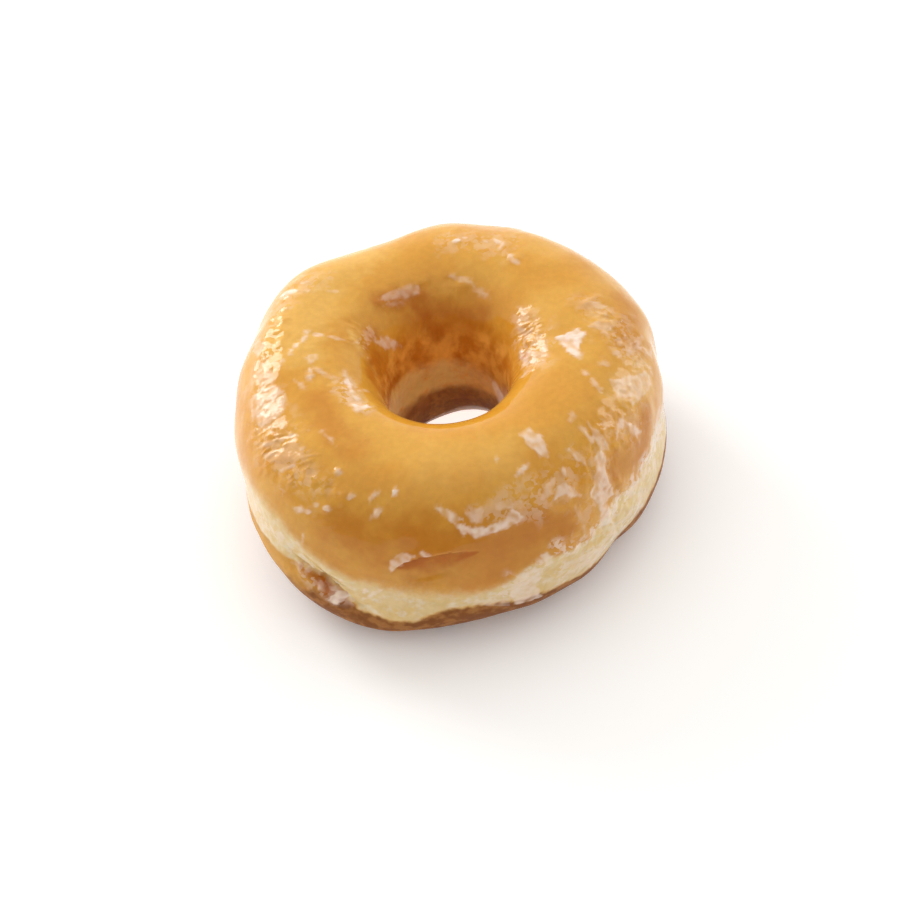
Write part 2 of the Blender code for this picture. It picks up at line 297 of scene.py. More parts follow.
# Where sugar has set white out of the glaze, in flakes and smears, and where highlights and reflections
# of the lights are painted white on the glaze: how white, and the outline
Flake = namedtuple("Flake", "whiteness corners")
FLAKES = {
    # The plate and the facets above it and at the left edge are painted highlight of the key light on the
    # glaze
    "plate on the left shoulder": Flake(0.42, ((188, 69), (191, 77), (196, 80), (202, 76), (203, 69),
                                               (201, 62), (196, 59), (189, 61))),
    "facets above that plate": Flake(0.30, ((179, 71), (183, 77), (189, 76), (187, 69), (180, 63))),
    "facets at the left edge": Flake(0.35, ((169, 62), (165, 64), (170, 72), (174, 68))),
    "foot of the hook": Flake(0.75, ((213, 104), (218, 106), (220, 110), (223, 109), (222, 102), (217, 103))),
    "streak at the left edge": Flake(0.60, ((148, 65), (145, 68), (145, 77), (149, 72))),
    "smear at the far rim": Flake(0.30, ((127, 111), (111, 110), (101, 111), (102, 115), (110, 116),
                                         (124, 113))),
    # The plate at the rim of the hole is painted highlight of the key light
    "plate at the rim of the hole": Flake(0.60, ((6, 126), (359, 119), (350, 114), (345, 116), (346, 123),
                                                 (356, 126))),
    # The three-cornered flake is set sugar, with painted reflection of the lights in it
    "three-cornered flake": Flake(0.80, ((0, 105), (0, 101), (3, 94), (359, 91), (354, 94), (344, 93),
                                         (349, 99))),
    # The stripes, the facets and the peach patch on the right shoulder are painted reflection of the
    # right-hand light
    "first stripe": Flake(0.30, ((15, 88), (16, 83), (13, 76), (11, 79), (13, 86))),
    "second stripe": Flake(0.30, ((11, 85), (10, 77), (8, 79))),
    "third stripe": Flake(0.30, ((3, 89), (5, 85), (4, 75), (0, 80), (2, 86))),
    "upper facet": Flake(0.25, ((358, 70), (4, 58), (359, 61))),
    "long facet": Flake(0.30, ((358, 66), (1, 51), (359, 50), (357, 60))),
    "facet over the peach patch": Flake(0.30, ((353, 64), (354, 58), (350, 63))),
    "peach patch": Flake(0.38, ((339, 77), (344, 68), (346, 65), (352, 56), (351, 49), (343, 55),
                                (337, 60), (338, 64), (335, 70))),
    "long streak": Flake(0.40, ((319, 74), (320, 66), (320, 57), (317, 61), (317, 68))),
    "pale arch": Flake(0.50, ((325, 61), (330, 64), (332, 56), (335, 45), (332, 46), (330, 56), (327, 61),
                              (324, 58))),
    "streak above the front": Flake(0.60, ((297, 89), (301, 90), (303, 85), (301, 73), (299, 76), (297, 83))),
    "curved streak": Flake(0.60, ((264, 63), (267, 63), (271, 57), (269, 56), (273, 51), (271, 49),
                                  (267, 58))),
    "arc of the streak": Flake(0.70, ((271, 52), (277, 51), (283, 54), (285, 57), (288, 50), (281, 48),
                                      (274, 46))),
    "frost in the arc": Flake(0.40, ((272, 60), (278, 62), (276, 54), (273, 55))),
    "frost over the arc": Flake(0.35, ((278, 62), (285, 62), (286, 58), (280, 58))),
    "frost arch": Flake(0.55, ((297, 54), (299, 59), (302, 59), (305, 48), (302, 50), (300, 54))),
    "frost beside the arch": Flake(0.35, ((292, 56), (296, 62), (300, 64), (297, 57))),
    "lilac column": Flake(0.55, ((313, 60), (317, 61), (317, 54), (315, 50), (316, 31), (310, 31), (308, 45),
                                 (312, 54))),
    "lilac patch on the band": Flake(0.60, ((310, 32), (313, 26), (315, 2), (309, 15))),
    "pink patch": Flake(0.55, ((290, 22), (292, 23), (293, 12), (291, 13))),
    "grey patch": Flake(0.55, ((285, 12), (288, 15), (290, -2), (288, -8), (290, -26), (283, -26),
                               (281, -8))),
    "tail of the grey patch": Flake(0.30, ((270, -8), (280, -14), (281, -26), (271, -12))),
    "low lilac patch": Flake(0.45, ((301, -1), (309, -7), (312, -18), (306, -28), (303, -18))),
    # The blob under the crease is a painted glint, and the smear at the fold a painted highlight
    "blob under the crease": Flake(0.80, ((235, -14), (237, -9), (241, -8), (239, -14), (237, -17))),
    "smear at the fold": Flake(0.45, ((252, 23), (252, 32), (255, 38), (258, 37), (255, 29))),
    "flake in the hole": Flake(0.50, ((150, 125), (137, 128), (128, 137), (139, 135), (147, 130))),
}

# Flakes of the same kinds on the side that isn't seen, the painted reflection of the peach patch among
# them: which, and how far it is turned and lowered
UNSEEN_FLAKES = (
    ("frost arch", 118, 18), ("lilac column", 85, 6), ("pale arch", 95, 20), ("arc of the streak", 150, 20),
    ("peach patch", 110, 22), ("grey patch", 170, -16), ("lilac patch on the band", 85, 4),
    ("low lilac patch", 100, -18), ("three-cornered flake", 60, 50), ("long streak", 170, 25),
    ("curved streak", 205, 30), ("frost beside the arch", 220, 30), ("low lilac patch", 215, -14),
)

# Smaller flecks of it, most of them painted glints where the lights catch ridges and bumps of the glaze:
# a middle, half a length and half a width in millimetres, how far the length is turned from the ring's way,
# and how white it is
Fleck = namedtuple("Fleck", "azimuth tube half_length half_width turn whiteness")
FLECKS = (
    # The beaded line of painted glints over the left crest, what runs on from it, and the small ring
    Fleck(168, 92, 1.5, 0.50, 170, 0.6), Fleck(173, 88, 0.7, 0.50, 165, 0.8),
    Fleck(176, 86, 0.9, 0.35, 160, 0.6), Fleck(180, 82, 1.0, 0.40, 160, 0.45),
    Fleck(166, 98, 1.1, 0.60, 100, 0.5), Fleck(166, 106, 1.5, 0.35, 90, 0.3),
    Fleck(181, 96, 1.2, 0.80, 150, 0.35), Fleck(190, 94, 1.1, 0.35, 175, 0.5),
    # The line to the hook, and the hook
    Fleck(191, 101, 2.0, 0.40, 40, 0.3), Fleck(199, 110, 1.7, 0.55, 0, 0.7),
    Fleck(193, 110, 1.4, 0.35, 150, 0.3), Fleck(209, 109, 1.6, 0.65, 170, 0.6),
    Fleck(206, 116, 1.2, 0.40, 100, 0.3),
    # Scratches, and painted highlights on the crests of the wrinkles on the left
    Fleck(222, 82, 1.3, 0.30, 170, 0.3), Fleck(194, 88, 1.3, 0.35, 20, 0.35),
    Fleck(208, 61, 2.0, 0.50, 50, 0.4), Fleck(212, 70, 1.4, 0.45, 60, 0.4),
    Fleck(211, 58, 1.5, 0.50, 50, 0.6), Fleck(219, 70, 0.8, 0.40, 55, 0.35),
    Fleck(218, 58, 1.7, 0.40, 50, 0.4), Fleck(222, 69, 1.3, 0.40, 40, 0.35),
    Fleck(233, 70, 0.9, 0.40, 165, 0.4),
    # The far crest and the left edge
    Fleck(81, 86, 0.9, 0.65, 45, 1.0), Fleck(78, 83, 0.6, 0.35, 175, 0.45),
    Fleck(66, 82, 1.3, 0.40, 150, 0.5), Fleck(63, 85, 0.8, 0.35, 100, 0.45),
    Fleck(70, 84, 0.8, 0.40, 170, 0.4), Fleck(57, 91, 0.9, 0.40, 130, 0.45),
    Fleck(54, 93, 1.1, 0.40, 170, 0.4), Fleck(141, 76, 0.8, 0.50, 130, 0.4),
    Fleck(144, 80, 1.0, 0.40, 170, 0.4), Fleck(139, 92, 0.9, 0.40, 120, 0.35),
    # The rim of the hole
    Fleck(63, 114, 1.8, 0.50, 165, 0.35), Fleck(76, 109, 2.1, 0.40, 165, 0.3),
    Fleck(119, 116, 2.0, 0.40, 170, 0.25), Fleck(20, 120, 1.4, 0.60, 30, 0.45),
    Fleck(14, 118, 1.6, 0.50, 60, 0.35), Fleck(354, 111, 1.7, 0.50, 0, 0.5),
    Fleck(336, 120, 0.9, 0.50, 160, 0.4),
    # The right shoulder
    Fleck(338, 89, 0.7, 0.60, 20, 0.4), Fleck(359, 81, 0.8, 0.50, 20, 0.35),
    Fleck(357, 74, 1.0, 0.50, 0, 0.35), Fleck(351, 76, 1.1, 0.50, 130, 0.3),
    Fleck(354, 68, 1.2, 0.50, 140, 0.35), Fleck(345, 81, 0.9, 0.50, 120, 0.3),
    Fleck(334, 81, 1.2, 0.40, 55, 0.35), Fleck(317, 82, 1.1, 0.50, 30, 0.25),
    Fleck(316, 70, 2.0, 0.50, 85, 0.4),
    # The near side
    Fleck(291, 73, 1.6, 0.50, 20, 0.6), Fleck(285, 82, 0.4, 0.35, 0, 0.5),
    Fleck(287, 58, 1.1, 0.70, 0, 0.35), Fleck(303, 64, 0.9, 0.40, 80, 0.5),
    Fleck(309, 66, 1.8, 0.60, 110, 0.45), Fleck(303, 32, 3.3, 0.60, 95, 0.2),
    Fleck(227, 45, 1.9, 0.50, 15, 0.5), Fleck(231, 51, 0.7, 0.40, 0, 0.5),
    Fleck(234, 52, 1.0, 0.35, 15, 0.5), Fleck(229, 29, 0.8, 0.30, 85, 0.4),
    Fleck(240, 62, 0.8, 0.40, 35, 0.5), Fleck(246, 65, 1.0, 0.40, 50, 0.5),
    Fleck(252, 69, 0.5, 0.45, 0, 1.0), Fleck(248, 58, 1.5, 0.50, 55, 0.5),
    # Below the crease, and at the fold
    Fleck(230, 6, 1.6, 0.50, 70, 0.5), Fleck(233, -6, 1.1, 0.50, 140, 0.45),
    Fleck(236, -8, 0.7, 0.40, 160, 0.5), Fleck(245, 1, 1.1, 0.50, 70, 0.5),
    Fleck(247, -1, 2.6, 0.45, 45, 0.45), Fleck(261, 38, 1.0, 0.50, 160, 0.5),
)

# No flake reaches further than this from its first corner
FLAKE_REACH = 16 * MM

# The noise of a mark's edge, where its white starts outside the edge and is full inside it, how
# patchy the white is, and how much of it there is at most
MARK_EDGE_NOISE = (Grain(0.40 * MM, 1.2 * MM, 8.1), Grain(0.16 * MM, 0.5 * MM, 9.2))
MARK_RISES = (-0.32 * MM, 0.20 * MM)
WHITENESS_PATCHES = (Grain(1.0, 1.2 * MM, 10.3),)
MOST_WHITENESS = 1.25

# How far a white mark, of sugar and painted glint alike, stands out, and the lumps in it
MARK_HEIGHT = 0.12 * MM
MARK_LUMPS = (Grain(0.14 * MM, 0.8 * MM, 18.9),)


def near_spot(skin, azimuth, tube):
    """Which points are near a spot, and their part of the skin."""
    along, across = off_spot(skin, azimuth, tube)
    near = np.flatnonzero(np.hypot(along, across) < FLAKE_REACH)
    return near, Skin(*(values[near] for values in skin))


def inside_outline(skin, corners):
    """How far inside an outline each point is, in metres, and below 0 outside."""
    nearest = np.full(len(skin.co), np.inf)
    inside = np.zeros(len(skin.co), bool)
    for beside in beside_line(skin, corners + corners[:1]):
        nearest = np.minimum(nearest, beside.distance)
        azimuth, tube = angle_from(skin.azimuth, beside.start[0]), angle_from(skin.tube, beside.start[1])
        to_azimuth, to_tube = angle_from(beside.end[0], beside.start[0]), beside.end[1] - beside.start[1]
        crossed = (tube > 0) != (tube > to_tube)
        inside ^= crossed & (azimuth < to_azimuth * tube / (to_tube or 1))
    return np.where(inside, nearest, -nearest)


def inside_fleck(skin, fleck):
    """How far inside a fleck each point is, in metres, and below 0 outside."""
    along, across = off_spot(skin, fleck.azimuth, fleck.tube, fleck.turn)
    half_length, half_width = fleck.half_length * MM, fleck.half_width * MM
    return (1 - np.hypot(along / half_length, across / half_width)) * half_width


def sugar_and_glint_marks(skin):
    """For each mark of set sugar, painted highlight, reflection and glint: the points near it, how far inside
    it they are, and its whiteness.
    """
    flakes = list(FLAKES.values())
    for name, turn, drop in UNSEEN_FLAKES:
        corners = tuple((azimuth + turn, tube - drop) for azimuth, tube in FLAKES[name].corners)
        flakes.append(Flake(FLAKES[name].whiteness, corners))
    for flake in flakes:
        near, part = near_spot(skin, *flake.corners[0])
        yield near, inside_outline(part, flake.corners), flake.whiteness
    for fleck in FLECKS:
        near, part = near_spot(skin, fleck.azimuth, fleck.tube)
        yield near, inside_fleck(part, fleck), fleck.whiteness


def sugar_and_glints(skin):
    """How white the set sugar and the painted highlights, reflections and glints are at each point."""
    ragged = grained(skin.co, MARK_EDGE_NOISE)
    patchy = np.clip(1 + grained(skin.co, WHITENESS_PATCHES), 0, MOST_WHITENESS)
    sugar = np.zeros(len(skin.co))
    for near, inside, whiteness in sugar_and_glint_marks(skin):
        covered = smooth_step(*MARK_RISES, inside + ragged[near])
        sugar[near] = np.maximum(sugar[near], whiteness * covered)
    return np.clip(sugar * patchy, 0, 1)


def facets(co, count, seed):
    """Flat facets between sharp folds, as in crumpled foil: zigzag waves, each with a slope of 1."""
    random = np.random.default_rng(seed)
    rise = np.zeros(len(co))
    for _ in range(count):
        way = random.normal(size=3)
        spacing = random.uniform(*FACET_SPACING) * MM
        wave = co @ (way / np.linalg.norm(way)) / spacing + random.random()
        rise += spacing * (np.abs(wave % 1 - 0.5) - 0.25)
    return rise


def lapped(skin, line, lip_rise, lip_width, depth, width):
    """One crust lapped over another at a line: a lip above it and a furrow below, fading at its ends."""
    nearest = np.full(len(skin.co), np.inf)
    rise = np.zeros(len(skin.co))
    for beside in beside_line(skin, line):
        fade = np.sin(math.pi * beside.share)
        lip = lip_rise * np.exp(-(beside.distance / lip_width) ** 2)
        furrow = -depth * np.exp(-beside.distance / width)
        here = fade * np.where(beside.side > 0, lip, furrow)
        rise = np.where(beside.distance < nearest, here, rise)
        nearest = np.minimum(nearest, beside.distance)
    return rise


def wrinkled(skin):
    """The wrinkles: narrow ridges in patches, bent by soft noise so that no two run alike."""
    bend = grained(skin.co, FOLD_BENDS)
    strength = np.clip(FOLD_STRENGTH + grained(skin.co, FOLD_PATCHES), 0, None)
    rise = np.zeros(len(skin.co))
    for folds in WRINKLES:
        lengthwise, sideways = off_spot(skin, folds.azimuth, folds.tube, folds.turn)
        inside = np.exp(-(lengthwise / folds.half_length) ** 4 - (sideways / folds.half_width) ** 4)
        ridge = 1 - np.abs(np.sin(math.pi * (sideways / folds.spacing + bend)))
        rise += folds.depth * strength * inside * (ridge ** RIDGE_POWER - RIDGE_FOOT)
    return rise


def crumpled(skin):
    """The crumpled glaze: flat facets, sharp creases and small dents, and the lumpy marks of sugar and
    painted glints raised on them.
    """
    warp = [soft_noise(skin.co, WARP_PATCH, seed) for seed in WARP_SEEDS]
    warped = skin.co + WARP * np.stack(warp, axis=1)
    dents = DENT_DEPTH * (dented(warped, DENTS) - MEAN_DENT)
    crumple = dents + FACET_SLOPE * facets(warped, count=8, seed=5)
    sugar = sugar_and_glints(skin) * (MARK_HEIGHT + dented(warped, MARK_LUMPS))
    return painted(skin, CRUMPLED, CRUMPLED_EDGE) * crumple + sugar


def blistered(skin):
    """The blisters: low round domes."""
    rise = np.zeros(len(skin.co))
    for azimuth, tube, radius, height in BLISTERS:
        along, across = off_spot(skin, azimuth, tube)
        dome = np.clip(1 - (along ** 2 + across ** 2) / radius ** 2, 0, 1)
        rise += height * np.sqrt(dome)
    return rise


def skin_relief(skin):
    """How far the skin stands out at each point."""
    crease = lapped(skin, CREASE_LINE, LIP_RISE, LIP_WIDTH, CREASE_DEPTH, CREASE_WIDTH)
    fold = lapped(skin, FOLD_LINE, FOLD_LIP_RISE, FOLD_LIP_WIDTH, FOLD_DEPTH, FOLD_WIDTH)
    return grained(skin.co, DIMPLES) + crease + fold + wrinkled(skin) + crumpled(skin) + blistered(skin)


def stand_out(mesh, skin, rise):
    """Moves each point along its normal, but never below what the doughnut lies on."""
    co = skin.co + skin.normal * rise[:, None]
    co[:, 2] = np.maximum(co[:, 2], 0)
    mesh.vertices.foreach_set("co", co.ravel())
    mesh.update()
    mesh.shade_smooth()


# What is made finer twice: skin that is crumpled this strongly, and what is this close to a white mark,
# of sugar and painted glint alike, or to the crease or the fold. The underside, between two tube angles,
# stays as it is.
FINE_STRENGTH = 0.6
FINE_ROUND_MARKS = 0.6 * MM
FINE_ROUND_LINES = 2.5 * MM
UNDERSIDE = (-165, -32)


def finely_worked(skin):
    """Whether each point lies where the glaze is crumpled, lapped, or marked with sugar and painted glints.
    """
    fine = painted(skin, CRUMPLED, 0) > FINE_STRENGTH
    for near, inside, _ in sugar_and_glint_marks(skin):
        fine[near] |= inside > -FINE_ROUND_MARKS
    for line in (CREASE_LINE, FOLD_LINE):
        for beside in beside_line(skin, line):
            fine |= beside.distance < FINE_ROUND_LINES
    return fine


dough = smoothed_copy(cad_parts["doughnut"])
skin = read_skin(dough.data)
make_finer(dough, (skin.tube < UNDERSIDE[0]) | (skin.tube > UNDERSIDE[1]))
make_finer(dough, finely_worked(read_skin(dough.data)))
skin = read_skin(dough.data)

# The proof line is a pale band along the side: the tube angles of its edges at an azimuth, and how
# soft its upper edge is, in millimetres. Then how soft its lower edge is, the noise of both edges,
# and the tube angle up to which the skin counts as outside.
PALE_BAND = (
    (0, -8, 14, 1.6), (15, -4, 14, 1.6), (40, -4, 16, 2), (60, -8, 12, 2), (90, -2, 18, 1.6),
    (120, -6, 14, 2), (150, -2, 16, 2.5), (175, 0, 19, 3.4), (190, 2, 25, 4), (200, 4, 31, 4.2),
    (213, 5, 34, 4), (221, 5, 33, 3.4), (228, 6, 26, 2.8), (234, -1, 20, 2.4), (239, -9, 15, 2.4),
    (243, -20, 12, 2.6), (250, -25, 8, 4), (258, -24, 5, 4.4), (264, -17, 3, 4.4), (270, -14, 1, 4),
    (276, -17, 2, 3.4), (281, -19, 8, 1.6), (287, -20, 18, 1.4), (292, -22, 19, 1.3), (298, -26, 12, 1.3),
    (305, -28, 11, 1.3), (311, -29, 19, 1.2), (316, -29, 25, 1.2), (323, -27, 19, 1.4), (330, -25, 14, 1.6),
    (338, -22, 25, 1.4), (346, -16, 24, 1.4), (353, -11, 18, 1.4),
)
LOWER_SOFTNESS = 1.1 * MM
BAND_EDGE_NOISE = (Grain(0.9 * MM, 3.5 * MM, 1.7), Grain(0.5 * MM, 1.1 * MM, 2.9))
OUTSIDE_REACH = 115

# The proof line in the hole is a band too: the tube angles of its edges, how soft and how ragged
# they are, and the azimuth by which it is fainter, how much, and how far from there it fades
HOLE_BAND_EDGES = (-200, -172)
HOLE_BAND_SOFTNESS, HOLE_BAND_RAGGEDNESS = 2.8 * MM, 1.6
FAINTER_AT, FAINTER_BY, FAINTER_BETWEEN = 20, 0.6, (80, 35)

# The tube angles between which the wall of the hole starts, and ends. The lower crust there: how
# strong it is, where it starts under the band, and where the hole ends.
WALL_STARTS, WALL_ENDS = (-240, -215), (-105, -135)
LOW_WALL_STRENGTH, LOW_WALL_STARTS, HOLE_ENDS = 0.65, (-180, -170), -100

# The crest's tube angle, and how far its lighter crust reaches down on both sides
CREST, CREST_REACH = 90, 42

# Where the crust is browner, with painted shade in the fold, under the crease's lip and on the near side;
# where it is paler, with painted light on the far left crest and a painted highlight along the hole's left
# rim;
# and where the lower crust is golden
BROWNED_AND_SHADED = (
    # Browner blotches on the near side, partly painted shade where it faces away from the lights
    Stroke(0.55, ((238, 46, 4), (252, 44, 6), (272, 44, 6), (288, 43, 5), (298, 34, 3))),
    # Painted shade in the fold, below its upper lip
    Stroke(1.0, ((254, 27, 0.6), (259, 30, 2.5), (265, 33, 2.3), (274, 37, 0.3))),
    Stroke(0.7, ((128, 112, 2), (115, 114, 2.6), (100, 117, 2.2))),
    Stroke(0.7, ((160, 130, 2.5), (172, 130, 3), (186, 128, 2))),
    Stroke(0.6, ((110, 128, 3), (85, 132, 4), (60, 128, 3))),
    Stroke(0.5, ((320, 44, 4), (335, 40, 4), (340, 48, 3))),
    Stroke(0.5, ((162, 48, 3), (180, 42, 3))),
    Stroke(0.3, ((258, 18, 3), (270, 20, 4), (284, 26, 4))),
    Stroke(0.5, ((150, 122, 2.5), (165, 126, 3.5), (182, 138, 3.5), (190, 148, 2))),
    Stroke(0.8, ((106, 122, 1.5), (100, 130, 2.5), (92, 138, 2))),
    Stroke(0.4, ((205, 92, 3), (232, 84, 4))),
    # Painted shade under the crease's lip
    Stroke(1.0, ((225, 10, 0.9), (230, 3, 1.7), (235, -5, 1.9), (241, -14, 1.4))),
    Stroke(0.4, ((0, 66, 4), (15, 64, 4))),
)
PALER_AND_LIT = (
    # Painted light on the far left crest, where the key light falls
    Stroke(0.9, ((120, 78, 6), (150, 86, 7), (175, 90, 5))),
    # Painted highlight along the left rim of the hole
    Stroke(1.0, ((158, 112, 0.9), (168, 121, 1.2), (176, 132, 1.3), (186, 140, 1.1))),
    Stroke(0.5, ((345, 112, 4), (10, 112, 5), (25, 110, 4))),
    Stroke(0.5, ((215, 42, 4), (228, 30, 3))),
    Stroke(0.4, ((262, 85, 5), (285, 84, 6))),
    Stroke(0.5, ((338, 68, 4), (350, 60, 4))),
)
GOLDEN_BELOW = (
    Stroke(1.0, ((150, -12, 5), (190, -12, 6), (212, -9, 7), (224, 0, 5), (232, -3, 2.5))),
    Stroke(0.7, ((60, -14, 5), (100, -14, 5), (150, -12, 5))),
)

# Faint haze in the glaze, where sugar has begun to set out of it, and painted sheen where the lights
# shine on crumpled glaze: on the left shoulder, at the rim of the hole and on the right shoulder
HAZE_AND_SHEEN = (
    Stroke(0.26, ((276, 59, 2), (286, 60, 3.4), (296, 58, 3.6), (303, 60, 2))),
    Stroke(0.20, ((308, 66, 2), (314, 56, 3), (311, 42, 4), (305, 30, 3))),
    Stroke(0.15, ((322, 66, 2), (330, 58, 4), (340, 60, 5))),
    Stroke(0.18, ((16, 84, 3), (4, 76, 5), (354, 66, 5))),
    Stroke(0.60, ((294, 22, 2), (303, 12, 2.5), (314, 18, 3), (326, 16, 3))),
    Stroke(0.75, ((334, 16, 3), (342, 16, 4), (350, 14, 3))),
    Stroke(0.60, ((281, -8, 2.5), (285, 4, 3), (289, 12, 2))),
    Stroke(0.45, ((296, -8, 3), (312, -12, 3), (330, -12, 3))),
    Stroke(0.22, ((178, 70, 3), (192, 68, 4), (210, 63, 5), (226, 60, 4))),
    Stroke(0.35, ((26, 116, 2.5), (10, 118, 4), (350, 115, 3.5))),
    Stroke(0.40, ((198, 108, 2), (212, 107, 2.5), (220, 107, 2))),
    Stroke(0.35, ((210, 22, 2), (217, 20, 2.5), (222, 20, 1.5))),
    Stroke(0.35, ((228, 2, 2), (234, -8, 2), (240, -14, 1.5))),
    Stroke(0.20, ((150, 70, 3), (140, 78, 4))),
    Stroke(0.20, ((84, 86, 3), (64, 84, 4))),
)


# The masks that strokes paint, and how ragged their edges are
PAINTED_MASKS = (
    ("browned_and_shaded", BROWNED_AND_SHADED, 0.4),
    ("paler_and_lit", PALER_AND_LIT, 0.5),
    ("golden", GOLDEN_BELOW, 0.4),
    ("haze_and_sheen", HAZE_AND_SHEEN, 0.9),
    ("crumpled", CRUMPLED, CRUMPLED_EDGE),
)


def band_depth(skin):
    """How far each point is above the pale band's lower edge and below its upper edge, in metres,
    and how soft the upper edge is there."""
    azimuths, lower, upper, softness = np.array(PALE_BAND).T
    lower, upper, softness = (np.interp(skin.azimuth, azimuths, values, period=360)
                              for values in (lower, upper, softness))
    to_metres = np.radians(1) * skin.dough_radius
    return (skin.tube - lower) * to_metres, (upper - skin.tube) * to_metres, softness * MM


def give_crust_masks(mesh, skin):
    """Stores where the pale bands, the wall of the hole and the lower crust show."""
    ragged = grained(skin.co, BAND_EDGE_NOISE)
    above_lower, below_upper, softness = band_depth(skin)
    outside = np.abs(skin.tube) < OUTSIDE_REACH
    above = smooth_step(-LOWER_SOFTNESS, LOWER_SOFTNESS, above_lower + ragged)
    give_mask(mesh, "pale_band", outside * above * smooth_step(-1, 1, (below_upper + ragged) / softness))

    # In the hole the tube angle goes on from -90 underneath to -270 on the crest
    turned = np.where(skin.tube > CREST, skin.tube - 360, skin.tube)
    low, high = HOLE_BAND_EDGES
    in_band = np.minimum(turned - low, high - turned) * np.radians(1) * skin.dough_radius
    in_band = smooth_step(-HOLE_BAND_SOFTNESS, HOLE_BAND_SOFTNESS, in_band + HOLE_BAND_RAGGEDNESS * ragged)
    fainter = smooth_step(*FAINTER_BETWEEN, np.abs(angle_from(skin.azimuth, FAINTER_AT)))
    give_mask(mesh, "hole_band", (1 - FAINTER_BY * fainter) * in_band)
    give_mask(mesh, "in_hole", smooth_step(*WALL_STARTS, turned) * smooth_step(*WALL_ENDS, turned))
    low_wall = LOW_WALL_STRENGTH * smooth_step(*LOW_WALL_STARTS, turned) * (turned < HOLE_ENDS)
    give_mask(mesh, "lower_crust", np.maximum(outside * (1 - above), low_wall))


give_crust_masks(dough.data, skin)
for name, strokes, raggedness in PAINTED_MASKS:
    give_mask(dough.data, name, painted(skin, strokes, raggedness))
give_mask(dough.data, "crest", np.exp(-((skin.tube - CREST) / CREST_REACH) ** 2))
# Whiteness of set sugar and of painted highlights, reflections and glints
give_mask(dough.data, "sugar_and_glints", sugar_and_glints(skin))
stand_out(dough.data, skin, skin_relief(skin))


# The crust's colours and its coat of clear glaze. Sugar glaze sets as a thin glossy coat over a
# golden crust, which is lighter on the crest, browner down the sides and pale at the proof line.
def shader_tree(name):
    """A new material, its node tree and its shader."""
    material = bpy.data.materials.new(name)
    material.use_nodes = True
    return material, material.node_tree, material.node_tree.nodes["Principled BSDF"]


def add_node(tree, kind, **settings):
    """A node of this kind with these settings."""
    node = tree.nodes.new(kind)
    for key, value in settings.items():
        setattr(node, key, value)
    return node


def feed(tree, socket, value):
    """Links a socket, or sets its plain value."""
    if isinstance(value, bpy.types.NodeSocket):
        tree.links.new(value, socket)
    else:
        socket.default_value = value


def mask_value(tree, name):
    """A mask that the piece's points hold."""
    return add_node(tree, "ShaderNodeAttribute", attribute_name=name).outputs["Fac"]


def noise_texture(tree, patch, detail, distortion=0.0):
    """A noise texture in patches of about this size."""
    texture = add_node(tree, "ShaderNodeTexNoise")
    feed(tree, texture.inputs["Vector"], add_node(tree, "ShaderNodeTexCoord").outputs["Object"])
    texture.inputs["Scale"].default_value = 1 / patch
    texture.inputs["Detail"].default_value = detail
    texture.inputs["Distortion"].default_value = distortion
    return texture


def speckle(tree, patch, detail=3.0, distortion=0.0):
    """Noise from 0 to 1 in patches of about this size."""
    return noise_texture(tree, patch, detail, distortion).outputs["Fac"]


# How large the noise that bends a splinter is beside it
SPLINTER_BENDS = 1.3


def splinters(tree, patch):
    """A chance value from 0 to 1 for each flat-sided splinter of about this size, a little bent."""
    shifted = add_node(tree, "ShaderNodeVectorMath", operation="MULTIPLY_ADD")
    feed(tree, shifted.inputs[0], noise_texture(tree, SPLINTER_BENDS * patch, 2).outputs["Color"])
    shifted.inputs[1].default_value = (patch, patch, patch)
    feed(tree, shifted.inputs[2], add_node(tree, "ShaderNodeTexCoord").outputs["Object"])
    cells = add_node(tree, "ShaderNodeTexVoronoi")
    feed(tree, cells.inputs["Vector"], shifted.outputs[0])
    cells.inputs["Scale"].default_value = 1 / patch
    parts = add_node(tree, "ShaderNodeSeparateColor")
    feed(tree, parts.inputs[0], cells.outputs["Color"])
    return parts.outputs["Red"]


def worked_out(tree, operation, first, second, third=0.0):
    """What an operation makes of two or three values."""
    node = add_node(tree, "ShaderNodeMath", operation=operation)
    for socket, value in zip(node.inputs, (first, second, third)):
        feed(tree, socket, value)
    return node.outputs[0]


def stepped(tree, value, low, high, least=0.0, most=1.0):
    """The least value below low, the most above high, and smooth between."""
    node = add_node(tree, "ShaderNodeMapRange", interpolation_type="SMOOTHSTEP")
    feed(tree, node.inputs["Value"], value)
    for socket, limit in zip(("From Min", "From Max", "To Min", "To Max"), (low, high, least, most)):
        node.inputs[socket].default_value = limit
    return node.outputs["Result"]


# Blotches of one colour in another: their size, how finely they break up, and the values of their
# noise at which they start and are full
Blotches = namedtuple("Blotches", "patch detail start full")


def blotched(tree, blotches):
    """0 outside these blotches and 1 inside them."""
    return stepped(tree, speckle(tree, blotches.patch, blotches.detail), blotches.start, blotches.full)


def mixed(tree, share, first, second, blend="MIX"):
    """One colour mixed into another."""
    node = add_node(tree, "ShaderNodeMix", data_type="RGBA", blend_type=blend)
    colours = [socket for socket in node.inputs if socket.type == "RGBA"]
    feed(tree, node.inputs[0], share)
    feed(tree, colours[0], first)
    feed(tree, colours[1], second)
    return next(socket for socket in node.outputs if socket.type == "RGBA")


def bumped(tree, heights):
    """The normal of a surface with these heights, each a value and how many metres it stands for."""
    normal = None
    for value, depth in heights:
        node = add_node(tree, "ShaderNodeBump")
        node.inputs["Distance"].default_value = depth
        feed(tree, node.inputs["Height"], value)
        if normal:
            feed(tree, node.inputs["Normal"], normal)
        normal = node.outputs["Normal"]
    return normal


# How near to 0 and to 1 a frayed mask already counts as 0 and as 1
FRAY_MARGIN = 0.05


